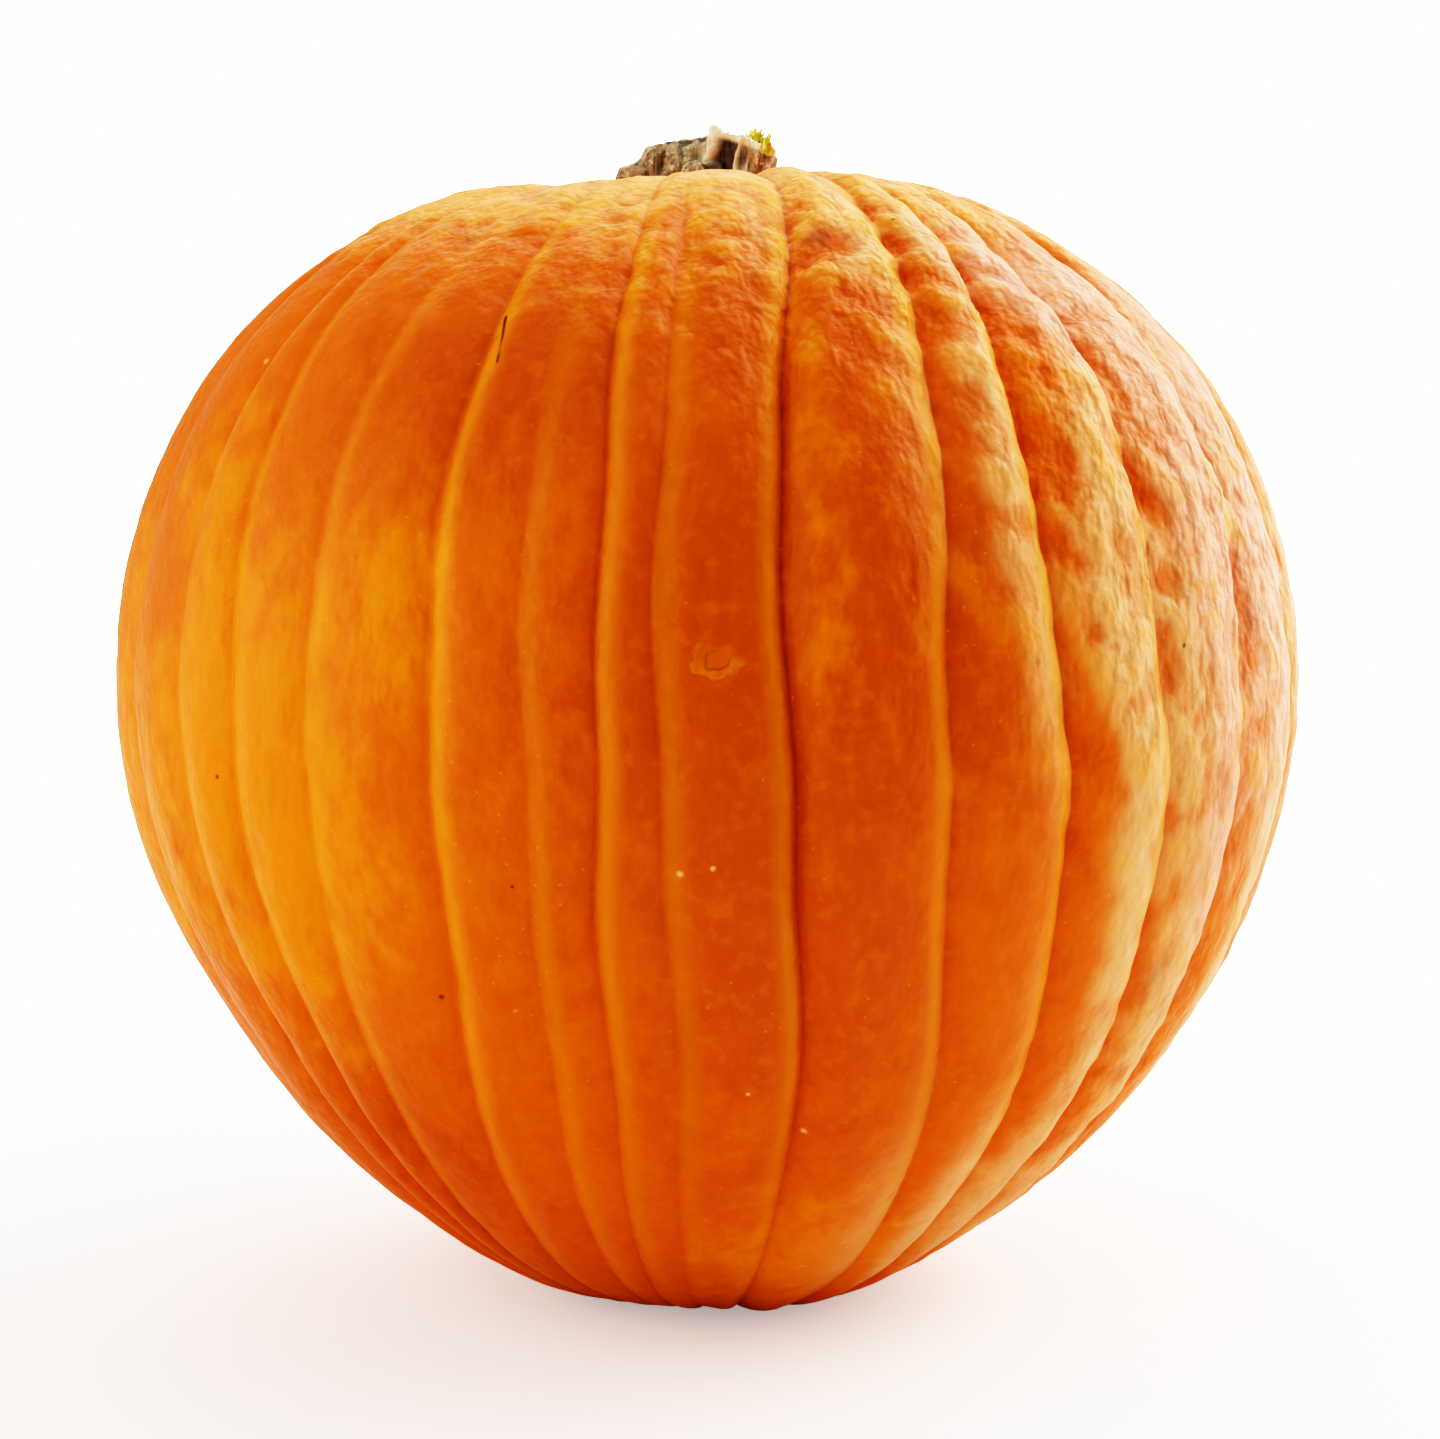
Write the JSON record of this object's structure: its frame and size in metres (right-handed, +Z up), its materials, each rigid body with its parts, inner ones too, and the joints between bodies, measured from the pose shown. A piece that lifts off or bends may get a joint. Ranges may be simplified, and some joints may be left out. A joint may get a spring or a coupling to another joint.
{
  "type": "pumpkin",
  "caption": "Ripe carving pumpkin with broad uneven ribs, a hollow crown, a short cut woody stem and a small flat spot underneath to stand on.",
  "frame": {"origin": "centre of the flat spot that the pumpkin stands on, level with the surface under it", "axes": "+Z up through the stem, -Y towards the side seen in the picture, +X to the right of that side"},
  "size_m": [0.3025, 0.3018, 0.299],
  "materials": {
    "rind": "smooth waxy orange rind with a soft gloss, redder in front and yellower to the sides",
    "stem_bark": "dry, dark brown fluted bark with cream ridges and a pale fibrous cut"
  },
  "bodies": {
    "root": {"fruit": "rind", "stem": "stem_bark"}
  },
  "joints": []
}
